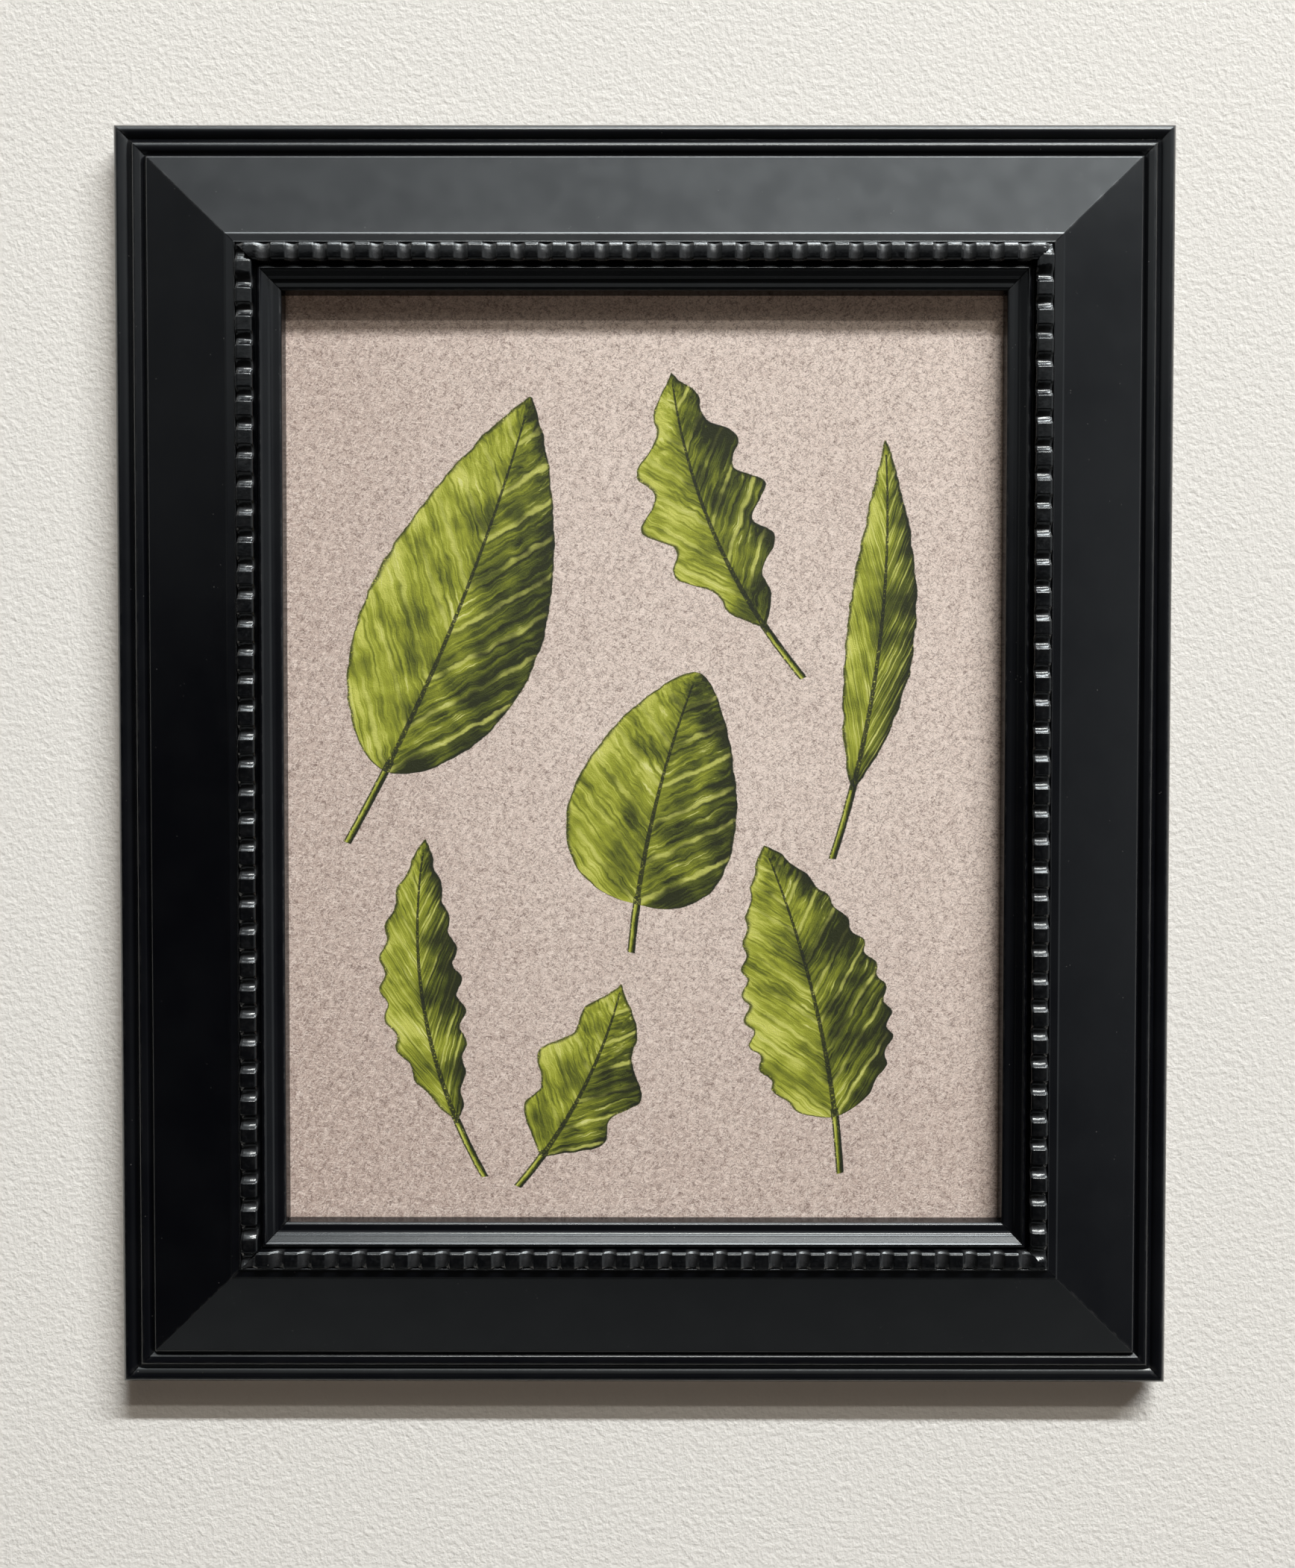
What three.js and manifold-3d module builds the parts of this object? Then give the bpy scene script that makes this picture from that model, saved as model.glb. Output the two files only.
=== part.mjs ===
// A framed picture: a black moulded frame of four mitred rails, each with a ribbed strip glued in
// its face, round a toned sheet on a mount board with a backing board behind, and a sawtooth hanger.
// Millimetres. X runs across, Z up, and the front faces -Y. The rails' backs lie on Y = 0 and the
// origin is the point on that plane behind the middle notch of the hanger, where the nail carries it.
import * as THREE from 'three';
import { mergeVertices } from 'three/addons/utils/BufferGeometryUtils.js';
import Module from 'manifold-3d';

const wasm = await Module();
wasm.setup();

// ---- Driving dimensions ------------------------------------------------------------------------

const SIGHT_WIDTH = 266; // opening that shows the sheet
const SIGHT_HEIGHT = 344;
const MOULDING_WIDTH = 67; // outer edge to sight edge, in plan
const OUTER_WIDTH = SIGHT_WIDTH + 2 * MOULDING_WIDTH;
const OUTER_HEIGHT = SIGHT_HEIGHT + 2 * MOULDING_WIDTH;

// The rails' section is in (u, h): u from the outer edge inwards, h forward from the flat back.
const BACK_CHAMFER = 0.8;
const EDGE_RISE = 5.5; // height of the plain outer edge
const CREASE_1 = [6.0, 7.2]; // between the two reeds
const CREASE_2 = [13.0, 10.1]; // between the inner reed and the band
const REED_BULGE = 1.7;
const BAND_FOOT = [13.15, 11.1]; // top of the small step up to the band
const BAND_START = [14.8, 12.5]; // end of the rounded shoulder
const BAND_END = [47.4, 24.9];
const FILLET_START = [47.7, 25.7];
const CHANNEL_OUTER = [51.4, 26.0]; // the channel holds the ribbed strip
const CHANNEL_INNER_U = 58.3;
const CHANNEL_FLOOR = 22.5;
const CREST_START = [59.1, 24.5];
const COVE_START = [60.0, 24.9];
const COVE_END = [66.0, 21.6];
const COVE_SAG = 0.95;
const NOSE_FOOT = 20.8; // where the nose turns into the lip's edge face
const NOSE_BULGE = 0.3;
const SHOULDER_BULGE = 0.35;
const STEPS = { nose: 4, cove: 6, shoulder: 3, reed: 6 }; // straight steps in each arc
const MITRE_GAP = 0.22; // each mitre face stands this far back, measured along the rail
const LIP_BACK = 15.0;
const REBATE_WALL_U = 59;

// Ribbed strip: pads with scooped cross grooves, in (w, y): w inwards from the strip's outer side.
const GAP = 0.3; // between pieces that touch
const STRIP_WIDTH = CHANNEL_INNER_U - CHANNEL_OUTER[0] - 2 * GAP;
const PAD_SECTION = [[0, 3.5], [0.6, 4.8], [3.1, 5.1], [5.4, 4.8], [6.1, 2.4]];
const GROOVE_SECTION = [[0, 3.1], [0.3, 3.6], [3.1, 3.8], [5.9, 3.4], [6.25, 1.8]];
const RIB_PITCH = 10.2;
const GROOVE_HALF_WIDTH = 1.75;
const GROOVE_FLOOR_HALF = 0.75;
// How far the nearest groove lies from the middle of each strip: every strip comes off a long
// stick wherever the saw fell.
const GROOVE_OFFSET = { top: RIB_PITCH / 2, bottom: -2.4, left: 0, right: 2.4 };

// What the frame holds, from the lip backwards.
const SHEET = { width: 279.4, height: 355.6, thick: 0.5 };
const MOUNT_BOARD = { width: 279.4, height: 355.6, thick: 3 };
const BACKING_BOARD = { width: 281, height: 359, thick: 2.5 };
const POINT = { width: 11, reach: 8, bite: 5, thick: 0.8 };
const POINTS_ON_SIDE = { top: 2, bottom: 2, left: 3, right: 3 };

// Hardware on the back.
const WEDGE = { leg: 6, thick: 0.8, depth: 7 };
const WEDGE_PLACES = [20, 42]; // u of each wedge's point on the mitre
const HANGER = { length: 46, width: 11, thick: 0.8, foot: 8, rise: 1.2, ramp: 2 };
const HANGER_NOTCHES = 11;
const NOTCH_MOUTH = 0.92; // share of the notches' pitch that each one takes at its mouth
const TOOTH_DEPTH = 2.2;
const HANGER_DROP = 30; // frame's top edge down to the notches
const NAIL = { shankRadius: 0.6, headRadius: 1.7, headThick: 0.6, length: 11, tip: 1.5 };
const BUMPER = { radius: 6, thick: 2.4, inset: 16 };

// Worked out from the above.
const SHEET_H = LIP_BACK - GAP; // height of each one's front face
const MOUNT_BOARD_H = SHEET_H - SHEET.thick - GAP;
const BACKING_BOARD_H = MOUNT_BOARD_H - MOUNT_BOARD.thick - GAP;
const POINT_H = BACKING_BOARD_H - BACKING_BOARD.thick - GAP - POINT.thick; // height of its back
const HOOK_Z = OUTER_HEIGHT / 2 - HANGER_DROP;
const HANGER_REACH = GAP + HANGER.rise + HANGER.thick + GAP; // past the plate, towards the wall
const NAIL_X = (HANGER.length - HANGER.foot) / 2;
const NAIL_Z = HOOK_Z - TOOTH_DEPTH + HANGER.width / 2;

// ---- Materials ---------------------------------------------------------------------------------

const standard = (color, roughness, metalness) =>
  new THREE.MeshStandardMaterial({ color, roughness, metalness });
const blackLacquer = standard(0x0c0d0f, 0.38, 0);
const blackGloss = standard(0x08090a, 0.16, 0);
const tonedPaper = standard(0xb3a197, 0.92, 0);
const greyBoard = standard(0xd9d4c8, 0.9, 0);
const hardboard = standard(0x6b4a2f, 0.75, 0);
const springSteel = standard(0x9aa0a6, 0.35, 0.9);
const brassPlate = standard(0xb08a45, 0.32, 0.9);
const felt = standard(0x2b2622, 0.98, 0);

// ---- Helpers -----------------------------------------------------------------------------------

const frame = new THREE.Group();
frame.position.z = -HOOK_Z;

function add(name, geometry, material) {
  const mesh = new THREE.Mesh(geometry, material);
  mesh.name = name;
  frame.add(mesh);
}

function solid(geometry) {
  const bare = geometry.clone();
  bare.deleteAttribute('normal');
  bare.deleteAttribute('uv');
  const merged = mergeVertices(bare, 1e-4);
  return new wasm.Manifold(new wasm.Mesh({
    numProp: 3,
    vertProperties: new Float32Array(merged.attributes.position.array),
    triVerts: new Uint32Array(merged.index.array),
  }));
}

function geometryOf(manifold) {
  const mesh = manifold.getMesh();
  const geometry = new THREE.BufferGeometry();
  geometry.setAttribute('position', new THREE.BufferAttribute(mesh.vertProperties, 3));
  geometry.setIndex(new THREE.BufferAttribute(mesh.triVerts, 1));
  geometry.computeVertexNormals();
  return geometry;
}

const box = (x0, x1, y0, y1, z0, z1) =>
  new THREE.BoxGeometry(x1 - x0, y1 - y0, z1 - z0)
    .translate((x0 + x1) / 2, (y0 + y1) / 2, (z0 + z1) / 2);

const extrude = (points, depth) =>
  new THREE.ExtrudeGeometry(new THREE.Shape(points.map(([x, y]) => new THREE.Vector2(x, y))),
    { depth, bevelEnabled: false });

// A flat piece parallel to the wall: its outline in (X, Z), from height h0 to h1 off the backs.
const plate = (outline, h0, h1) => extrude(outline, h1 - h0).translate(0, 0, h0).rotateX(Math.PI / 2);

const cylinderY = (radius, y0, y1, sides) =>
  new THREE.CylinderGeometry(radius, radius, y1 - y0, sides).translate(0, (y0 + y1) / 2, 0);

// Points after a on the arc from a to b. bulge is the arc's height over its chord, on the left.
function arc(a, b, bulge, steps) {
  const chord = Math.hypot(b[0] - a[0], b[1] - a[1]);
  const left = [-(b[1] - a[1]) / chord, (b[0] - a[0]) / chord];
  const half = 2 * Math.atan(2 * Math.abs(bulge) / chord);
  const radius = chord / 2 / Math.sin(half);
  return Array.from({ length: steps }, (_, i) => {
    const turn = half * (2 * (i + 1) / steps - 1);
    const along = radius * Math.sin(turn) / chord + 0.5;
    const rise = Math.sign(bulge) * radius * (Math.cos(turn) - Math.cos(half));
    return [a[0] + along * (b[0] - a[0]) + rise * left[0], a[1] + along * (b[1] - a[1]) + rise * left[1]];
  });
}

// Each side lies on its own edge of the frame: half is its half length, turn its angle about Y.
const SIDES = {
  bottom: { half: OUTER_WIDTH / 2, reach: OUTER_HEIGHT / 2, turn: 0 },
  left: { half: OUTER_HEIGHT / 2, reach: OUTER_WIDTH / 2, turn: Math.PI / 2 },
  top: { half: OUTER_WIDTH / 2, reach: OUTER_HEIGHT / 2, turn: Math.PI },
  right: { half: OUTER_HEIGHT / 2, reach: OUTER_WIDTH / 2, turn: -Math.PI / 2 },
};

// From stick axes (x along, y = u, z = h) to the side's place: u inwards, h to the front.
function onSide(geometry, side) {
  geometry.rotateX(Math.PI / 2);
  geometry.translate(0, 0, -side.reach);
  return geometry.rotateY(side.turn);
}

// ---- Rails -------------------------------------------------------------------------------------

// One stick's section, once round: back, rebate, lip, then over the face from sight edge to outer
// edge: nose, cove, strip channel, fillet, band, two reeds.
const railSection = [
  [BACK_CHAMFER, 0], [REBATE_WALL_U, 0], [REBATE_WALL_U, LIP_BACK], [MOULDING_WIDTH, LIP_BACK],
  [MOULDING_WIDTH, NOSE_FOOT],
  ...arc([MOULDING_WIDTH, NOSE_FOOT], COVE_END, -NOSE_BULGE, STEPS.nose),
  ...arc(COVE_END, COVE_START, COVE_SAG, STEPS.cove),
  CREST_START, [CHANNEL_INNER_U, CHANNEL_FLOOR], [CHANNEL_OUTER[0], CHANNEL_FLOOR],
  CHANNEL_OUTER, FILLET_START, BAND_END,
  BAND_START, ...arc(BAND_START, BAND_FOOT, -SHOULDER_BULGE, STEPS.shoulder),
  CREASE_2, ...arc(CREASE_2, CREASE_1, -REED_BULGE, STEPS.reed),
  ...arc(CREASE_1, [0, EDGE_RISE], -REED_BULGE, STEPS.reed),
  [0, BACK_CHAMFER],
];

// A length of section between two mitres. The ends lean in by u, so that four of them close.
function stick(section, half) {
  const geometry = extrude(section, 1);
  const place = geometry.attributes.position;
  for (let i = 0; i < place.count; i += 1) {
    const [u, h, end] = [place.getX(i), place.getY(i), place.getZ(i)];
    place.setXYZ(i, (end > 0.5 ? 1 : -1) * (half - u - MITRE_GAP), u, h);
  }
  return geometry;
}

// A thin bent nail across each mitre, flush with the back: an L whose corner lies on the mitre.
function wedge(sx, sz, u, slack) {
  const [apex, tail] = [u + slack, u - WEDGE.leg - slack];
  const inner = u - WEDGE.thick - slack;
  const outline = [[apex, apex], [tail, apex], [tail, inner], [inner, inner], [inner, tail],
    [apex, tail]].map(([p, q]) => [sx * (OUTER_WIDTH / 2 - p), sz * (OUTER_HEIGHT / 2 - q)]);
  return plate(outline, -slack, WEDGE.depth + slack);
}

// A flat glazier's point: its sharp end in the rebate wall, its tail over the backing board.
function point(side, x, slack) {
  const w = POINT.width / 2 + slack;
  const tip = REBATE_WALL_U - POINT.bite - slack;
  const shoulder = tip + POINT.bite / 2;
  const tail = REBATE_WALL_U + POINT.reach;
  const outline = [[x - w, tail], [x - w, shoulder], [x, tip], [x + w, shoulder], [x + w, tail]];
  const blade = extrude(outline, POINT.thick + 2 * slack).translate(0, 0, POINT_H - slack);
  return onSide(blade, side);
}

const wedges = [];
for (const [zName, sz] of [['top', 1], ['bottom', -1]]) {
  for (const [xName, sx] of [['left', -1], ['right', 1]]) {
    WEDGE_PLACES.forEach((u, i) => {
      wedges.push({ name: `corner_wedge_${zName}_${xName}_${i + 1}`, sx, sz, u });
    });
  }
}

const points = [];
for (const [name, side] of Object.entries(SIDES)) {
  const count = POINTS_ON_SIDE[name];
  const room = 2 * (side.half - REBATE_WALL_U);
  for (let i = 0; i < count; i += 1) {
    points.push({ name: `point_${name}_${i + 1}`, side, x: room * ((i + 0.5) / count - 0.5) });
  }
}

const nailHoles = [-1, 1].map((sx) => cylinderY(NAIL.shankRadius + GAP, -NAIL.length - GAP, HANGER_REACH, 16)
  .translate(sx * NAIL_X, 0, NAIL_Z));

for (const [name, side] of Object.entries(SIDES)) {
  let rail = solid(onSide(stick(railSection, side.half), side));
  for (const { sx, sz, u } of wedges) rail = rail.subtract(solid(wedge(sx, sz, u, GAP)));
  for (const { side: own, x } of points) {
    if (own === side) rail = rail.subtract(solid(point(side, x, GAP)));
  }
  if (name === 'top') for (const hole of nailHoles) rail = rail.subtract(solid(hole));
  add(`rail_${name}`, geometryOf(rail), blackLacquer);
}
for (const { name, sx, sz, u } of wedges) add(name, wedge(sx, sz, u, 0), springSteel);
for (const { name, side, x } of points) add(name, point(side, x, 0), springSteel);

// ---- Ribbed strips -----------------------------------------------------------------------------

// Closed rings of (w, y) points at stations along x, skinned into one body with flat ends.
function loft(rings) {
  const n = rings[0].ring.length;
  const place = rings.flatMap(({ x, ring }) => ring.flatMap(([w, y]) => [x, w, y]));
  const index = [];
  for (let k = 0; k + 1 < rings.length; k += 1) {
    for (let i = 0; i < n; i += 1) {
      const [a, b] = [k * n + i, k * n + (i + 1) % n];
      index.push(a, b, b + n, a, b + n, a + n);
    }
  }
  const last = (rings.length - 1) * n;
  const outline = rings[0].ring.map(([w, y]) => new THREE.Vector2(w, y));
  for (const [a, b, c] of THREE.ShapeUtils.triangulateShape(outline, [])) {
    index.push(a, c, b, last + a, last + b, last + c);
  }
  const geometry = new THREE.BufferGeometry();
  geometry.setAttribute('position', new THREE.Float32BufferAttribute(place, 3));
  geometry.setIndex(index);
  return geometry;
}

const ringOf = (top) => [[0, 0], [STRIP_WIDTH, 0], ...[...top].reverse()]
  .map(([w, y]) => [CHANNEL_OUTER[0] + GAP + w, CHANNEL_FLOOR + GAP + y]);

// Pads and grooves by turns, past both ends, and then the two mitre cuts.
function ribbedStrip(side, offset) {
  const rings = [];
  const steps = Math.ceil(side.half / RIB_PITCH);
  for (let k = -steps; k <= steps; k += 1) {
    const x = offset + k * RIB_PITCH;
    rings.push({ x: x - GROOVE_HALF_WIDTH, ring: ringOf(PAD_SECTION) });
    rings.push({ x: x - GROOVE_FLOOR_HALF, ring: ringOf(GROOVE_SECTION) });
    rings.push({ x: x + GROOVE_FLOOR_HALF, ring: ringOf(GROOVE_SECTION) });
    rings.push({ x: x + GROOVE_HALF_WIDTH, ring: ringOf(PAD_SECTION) });
  }
  const [u0, u1] = [CHANNEL_OUTER[0] - 1, CHANNEL_INNER_U + 1];
  const between = stick([[u0, 0], [u1, 0], [u1, 2 * CHANNEL_FLOOR], [u0, 2 * CHANNEL_FLOOR]], side.half);
  return onSide(geometryOf(solid(loft(rings)).intersect(solid(between))), side);
}

for (const [name, side] of Object.entries(SIDES)) {
  add(`ribbed_strip_${name}`, ribbedStrip(side, GROOVE_OFFSET[name]), blackGloss);
}

// ---- Sheet and boards --------------------------------------------------------------------------

// Each rests on the bottom rail's rebate, front face at height h.
function board(name, { width, height, thick }, h, material) {
  const foot = REBATE_WALL_U + GAP - OUTER_HEIGHT / 2;
  add(name, box(-width / 2, width / 2, -h, thick - h, foot, foot + height), material);
}

board('toned_sheet', SHEET, SHEET_H, tonedPaper);
board('mount_board', MOUNT_BOARD, MOUNT_BOARD_H, greyBoard);
board('backing_board', BACKING_BOARD, BACKING_BOARD_H, hardboard);

// ---- Hanger, its nails, and the bumpers --------------------------------------------------------

// The plate's edge seen from above: two feet on the wood and a raised bridge with the teeth.
function hangerPlate() {
  const end = HANGER.length / 2;
  const bend = end - HANGER.foot;
  const flat = bend - HANGER.ramp;
  const woodSide = [[-end, GAP], [-bend, GAP], [-flat, GAP + HANGER.rise],
    [flat, GAP + HANGER.rise], [bend, GAP], [end, GAP]];
  const wallSide = woodSide.map(([x, y]) => [x, y + HANGER.thick]).reverse();
  let hanger = solid(extrude([...woodSide, ...wallSide], HANGER.width)
    .translate(0, 0, HOOK_Z - TOOTH_DEPTH));
  const pitch = 2 * flat / (HANGER_NOTCHES + 1);
  for (let i = 0; i < HANGER_NOTCHES; i += 1) {
    const x = pitch * (i - (HANGER_NOTCHES - 1) / 2);
    const [mouth, half] = [HOOK_Z - TOOTH_DEPTH, NOTCH_MOUTH * pitch / 2];
    const notch = [[x - half, mouth - GAP], [x - half, mouth], [x, HOOK_Z], [x + half, mouth],
      [x + half, mouth - GAP]];
    hanger = hanger.subtract(solid(plate(notch, -HANGER_REACH, 0)));
  }
  for (const hole of nailHoles) hanger = hanger.subtract(solid(hole));
  return geometryOf(hanger);
}

// Shank, head and a blunt tip, turned about Y, with the head's underside just off the foot.
function hangerNail(sx) {
  const seat = 2 * GAP + HANGER.thick;
  const { shankRadius, headRadius, headThick, length, tip } = NAIL;
  const profile = [[0, -length], [shankRadius, -length + tip], [shankRadius, seat],
    [headRadius, seat], [headRadius * 0.8, seat + headThick], [0, seat + headThick]];
  return new THREE.LatheGeometry(profile.map(([r, y]) => new THREE.Vector2(r, y)), 10)
    .translate(sx * NAIL_X, 0, NAIL_Z);
}

add('hanger_plate', hangerPlate(), brassPlate);
for (const [name, sx] of [['left', -1], ['right', 1]]) {
  add(`hanger_nail_${name}`, hangerNail(sx), brassPlate);
  const bumper = cylinderY(BUMPER.radius, GAP, GAP + BUMPER.thick, 24);
  bumper.translate(sx * (OUTER_WIDTH / 2 - BUMPER.inset), 0, BUMPER.inset - OUTER_HEIGHT / 2);
  add(`bumper_${name}`, bumper, felt);
}

const picture = new THREE.Group();
picture.add(frame);
export default picture;
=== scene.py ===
# A black moulded picture frame round a toned sheet with painted leaves, hung on a pale wall.
# Sizes are in millimetres, as in the solids, and turn into metres as a mesh is made.

from math import cos, pi, radians, sin

import bpy
import numpy as np
from mathutils import Matrix


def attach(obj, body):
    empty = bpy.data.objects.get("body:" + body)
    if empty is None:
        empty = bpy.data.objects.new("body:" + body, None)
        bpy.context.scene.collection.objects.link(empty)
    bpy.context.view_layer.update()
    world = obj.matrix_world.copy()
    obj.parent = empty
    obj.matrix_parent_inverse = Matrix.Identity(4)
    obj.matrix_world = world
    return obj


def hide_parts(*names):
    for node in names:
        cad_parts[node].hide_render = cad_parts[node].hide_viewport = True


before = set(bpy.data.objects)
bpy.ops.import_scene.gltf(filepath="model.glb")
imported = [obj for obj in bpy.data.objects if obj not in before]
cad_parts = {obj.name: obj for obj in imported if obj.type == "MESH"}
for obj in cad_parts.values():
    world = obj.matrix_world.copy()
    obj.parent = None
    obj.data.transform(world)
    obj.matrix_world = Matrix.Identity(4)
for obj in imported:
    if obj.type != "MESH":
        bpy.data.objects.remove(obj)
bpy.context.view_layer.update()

MM = 0.001
HALF_WIDTH, HALF_HEIGHT = 200.0, 239.0
HOOK_Z = 209.0  # height of the hanger's notches over the frame's centre
BODY = "root"
UV_STEP = 100  # millimetres to one unit of a UV map

# ---- Meshes ----


def build(name, points, quads, caps=(), uv=None, masks=None, sharp=40.0):
    """A mesh from points in millimetres, rows of four corners, and whole outlines as caps.

    uv is one pair for each corner of each row of four; masks are one value for each point.
    """
    loops = np.concatenate([quads.ravel(), *[np.asarray(c) for c in caps]]).astype(np.int32)
    counts = np.concatenate([np.full(len(quads), 4), [len(c) for c in caps]]).astype(np.int32)
    starts = np.concatenate([[0], np.cumsum(counts)[:-1]]).astype(np.int32)
    mesh = bpy.data.meshes.new(name)
    mesh.vertices.add(len(points))
    mesh.vertices.foreach_set("co", (points * MM).astype(np.float32).ravel())
    mesh.loops.add(len(loops))
    mesh.loops.foreach_set("vertex_index", loops)
    mesh.polygons.add(len(counts))
    mesh.polygons.foreach_set("loop_start", starts)
    mesh.update(calc_edges=True)
    mesh.polygons.foreach_set("use_smooth", np.ones(len(counts), bool))
    if uv is not None:
        flat = np.zeros((len(loops), 2), np.float32)
        flat[: quads.size] = uv.reshape(-1, 2)
        mesh.uv_layers.new(name="UVMap").data.foreach_set("uv", flat.ravel())
    for mask_name, values in (masks or {}).items():
        layer = mesh.attributes.new(mask_name, "FLOAT", "POINT")
        layer.data.foreach_set("value", values.astype(np.float32).ravel())
    mesh.validate()
    mesh.set_sharp_from_angle(angle=radians(sharp))
    piece = bpy.data.objects.new(name, mesh)
    bpy.context.scene.collection.objects.link(piece)
    return piece


def skin(stations, around):
    """Rows of four corners over rings: corner i of ring k is number k * around + i."""
    i, k = np.meshgrid(np.arange(around), np.arange(stations - 1))
    j = (i + 1) % around
    near, far = k * around, (k + 1) * around
    return np.stack([near + i, near + j, far + j, far + i], -1).reshape(-1, 4)


def ring_uv(along, girth, total):
    """Each corner's place on the UV map: along the stick, and round the section without a jump."""
    s = np.append(girth, total) / UV_STEP
    left, right = s[:-1], s[1:]
    shape = (len(along) - 1, len(girth))
    a, b = along[:-1, :] / UV_STEP, along[1:, :] / UV_STEP
    a2, b2 = np.roll(a, -1, 1), np.roll(b, -1, 1)
    pair = lambda x, y: np.stack([x, np.broadcast_to(y, shape)], -1)
    return np.stack([pair(a, left), pair(a2, right), pair(b2, right), pair(b, left)], 2)


def rings_piece(name, rings, **extra):
    """Closed rings of points, one after another, skinned with a cap on each end."""
    stations, around = rings.shape[:2]
    last = (stations - 1) * around
    caps = [np.arange(around)[::-1], last + np.arange(around)]
    return build(name, rings.reshape(-1, 3), skin(stations, around), caps, **extra)


def ripple(x, s, seed, longest, shortest, count=7):
    """A gentle unevenness from -1 to 1: a sum of sines in x and s between two wavelengths."""
    draw = np.random.default_rng(seed)
    waves = np.geomspace(longest, shortest, count)
    leans, phases = draw.uniform(-1, 1, count), draw.uniform(0, 2 * pi, count)
    total = np.zeros(np.broadcast(x, s).shape)
    for wave, lean, phase in zip(waves, leans, phases):
        total = total + np.sin(2 * pi * (x + lean * s) / wave + phase)
    return total / np.sqrt(count) / 2


def finish_piece(piece, finish, slot, *nodes):
    """The piece takes its finish, rides on the one body, and stands for its solids."""
    piece.data.materials.append(finish)
    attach(piece, BODY)
    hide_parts(*nodes)


# ---- The stick's section ----

SIDES = {  # half length, distance of the outer edge from the centre, turn about Y in degrees
    "bottom": (HALF_WIDTH, HALF_HEIGHT, 0),
    "left": (HALF_HEIGHT, HALF_WIDTH, 90),
    "top": (HALF_WIDTH, HALF_HEIGHT, 180),
    "right": (HALF_HEIGHT, HALF_WIDTH, -90),
}


def on_side(x, u, h, side):
    """From stick axes to the frame: x along the edge, u inwards from it, h to the front."""
    _, reach, angle = SIDES[side]
    c, s, z = cos(radians(angle)), sin(radians(angle)), u - reach
    return np.stack([x * c + z * s, -h + 0 * x, z * c - x * s - HOOK_Z], -1)


def arc(a, b, bulge, steps=28):
    """Points on the arc from a to b whose height over its chord, to the left, is bulge."""
    a, b = np.array(a), np.array(b)
    chord = np.linalg.norm(b - a)
    left = np.array([-(b - a)[1], (b - a)[0]]) / chord
    half = 2 * np.arctan(2 * abs(bulge) / chord)
    angle = np.linspace(-half, half, steps)
    radius = chord / 2 / np.sin(half)
    along = (radius * np.sin(angle) / chord + 0.5)[:, None]
    rise = (np.sign(bulge) * radius * (np.cos(angle) - np.cos(half)))[:, None]
    return a + along * (b - a) + rise * left


def resample(line, cut_start, cut_end, count):
    """count points along the line between its two cuts, crowded towards both ends."""
    step = np.linalg.norm(np.diff(line, axis=0), axis=1)
    s = np.concatenate([[0], np.cumsum(step)])
    share = 0.5 - 0.5 * np.cos(np.linspace(0, pi, count))
    at = cut_start + (s[-1] - cut_start - cut_end) * share
    return np.stack([np.interp(at, s, line[:, 0]), np.interp(at, s, line[:, 1])], 1)


def eased_outline(parts):
    """One closed outline from (line, points, easing at its start): each corner becomes a bend,
    the curve (1-t)^2 A + 2t(1-t) C + t^2 B through the corner's two cut points. The second result
    is the number of the part that each point belongs to."""
    lines = []
    for i, (line, count, ease) in enumerate(parts):
        lines.append(resample(np.array(line), ease, parts[(i + 1) % len(parts)][2], count))
    pieces, own = [], []
    t = np.linspace(0, 1, 8)[1:-1, None]
    for i, (line, _, _) in enumerate(parts):
        a, b, corner = lines[i - 1][-1], lines[i][0], np.array(line[0])
        bend = (1 - t) ** 2 * a + 2 * t * (1 - t) * corner + t**2 * b
        pieces += [bend, lines[i]]
        own += [np.full(len(bend) + len(lines[i]), i)]
    return np.concatenate(pieces), np.concatenate(own)


def outward(outline):
    """Unit normals of a closed outline that runs anticlockwise: its tangent turned right."""
    tangent = np.roll(outline, -1, 0) - np.roll(outline, 1, 0)
    tangent /= np.linalg.norm(tangent, axis=1)[:, None]
    return np.stack([tangent[:, 1], -tangent[:, 0]], 1)


def turning(outline):
    """How sharply the outline turns at each point, positive where it bulges."""
    a = outline - np.roll(outline, 1, 0)
    b = np.roll(outline, -1, 0) - outline
    return np.arctan2(a[:, 0] * b[:, 1] - a[:, 1] * b[:, 0], (a * b).sum(1))


def girth_of(outline):
    """Distance round the outline to each point, and all the way round."""
    step = np.linalg.norm(np.roll(outline, -1, 0) - outline, axis=1)
    return np.concatenate([[0], np.cumsum(step)[:-1]]), step.sum()


# Points of the section, (inwards from the outer edge, forward from the back)
NOSE_FOOT, NOSE_TOP = (67.0, 20.8), (66.0, 21.6)
COVE_FOOT, COVE_HEAD = (64.9, 21.62), (62.6, 22.72)
CREST_FOOT, CREST, CREST_BACK = (60.65, 24.25), (60.1, 24.94), (59.1, 24.5)
CHANNEL_IN, CHANNEL_OUT = (58.3, 22.5), (51.4, 22.5)
RIM, RIM_BEAD, RIM_FOOT = (51.4, 25.9), (51.05, 26.06), (50.7, 25.42)
FILLET_START, SHOULDER, BAND_END = (48.0, 25.2), (47.85, 25.14), (47.2, 24.8)
BAND_START, BAND_FOOT, CREASE_2 = (14.85, 12.52), (13.25, 10.25), (13.05, 9.55)
REED_2_BEVEL, REED_2_TOP, REED_2_SIDE = (11.75, 10.7), (10.1, 10.98), (8.7, 10.42)
CREASE_1, REED_1_TOP, REED_1_SIDE = (6.0, 6.85), (2.9, 8.2), (1.2, 7.45)
EDGE_TOP, EDGE_FOOT, BACK_START = (0.0, 5.5), (0.0, 0.8), (0.8, 0.0)
REBATE_WALL, REBATE_DEPTH = 59.0, 15.0
REBATE_FOOT, REBATE_TOP = (REBATE_WALL, 0.0), (REBATE_WALL, REBATE_DEPTH)
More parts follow.
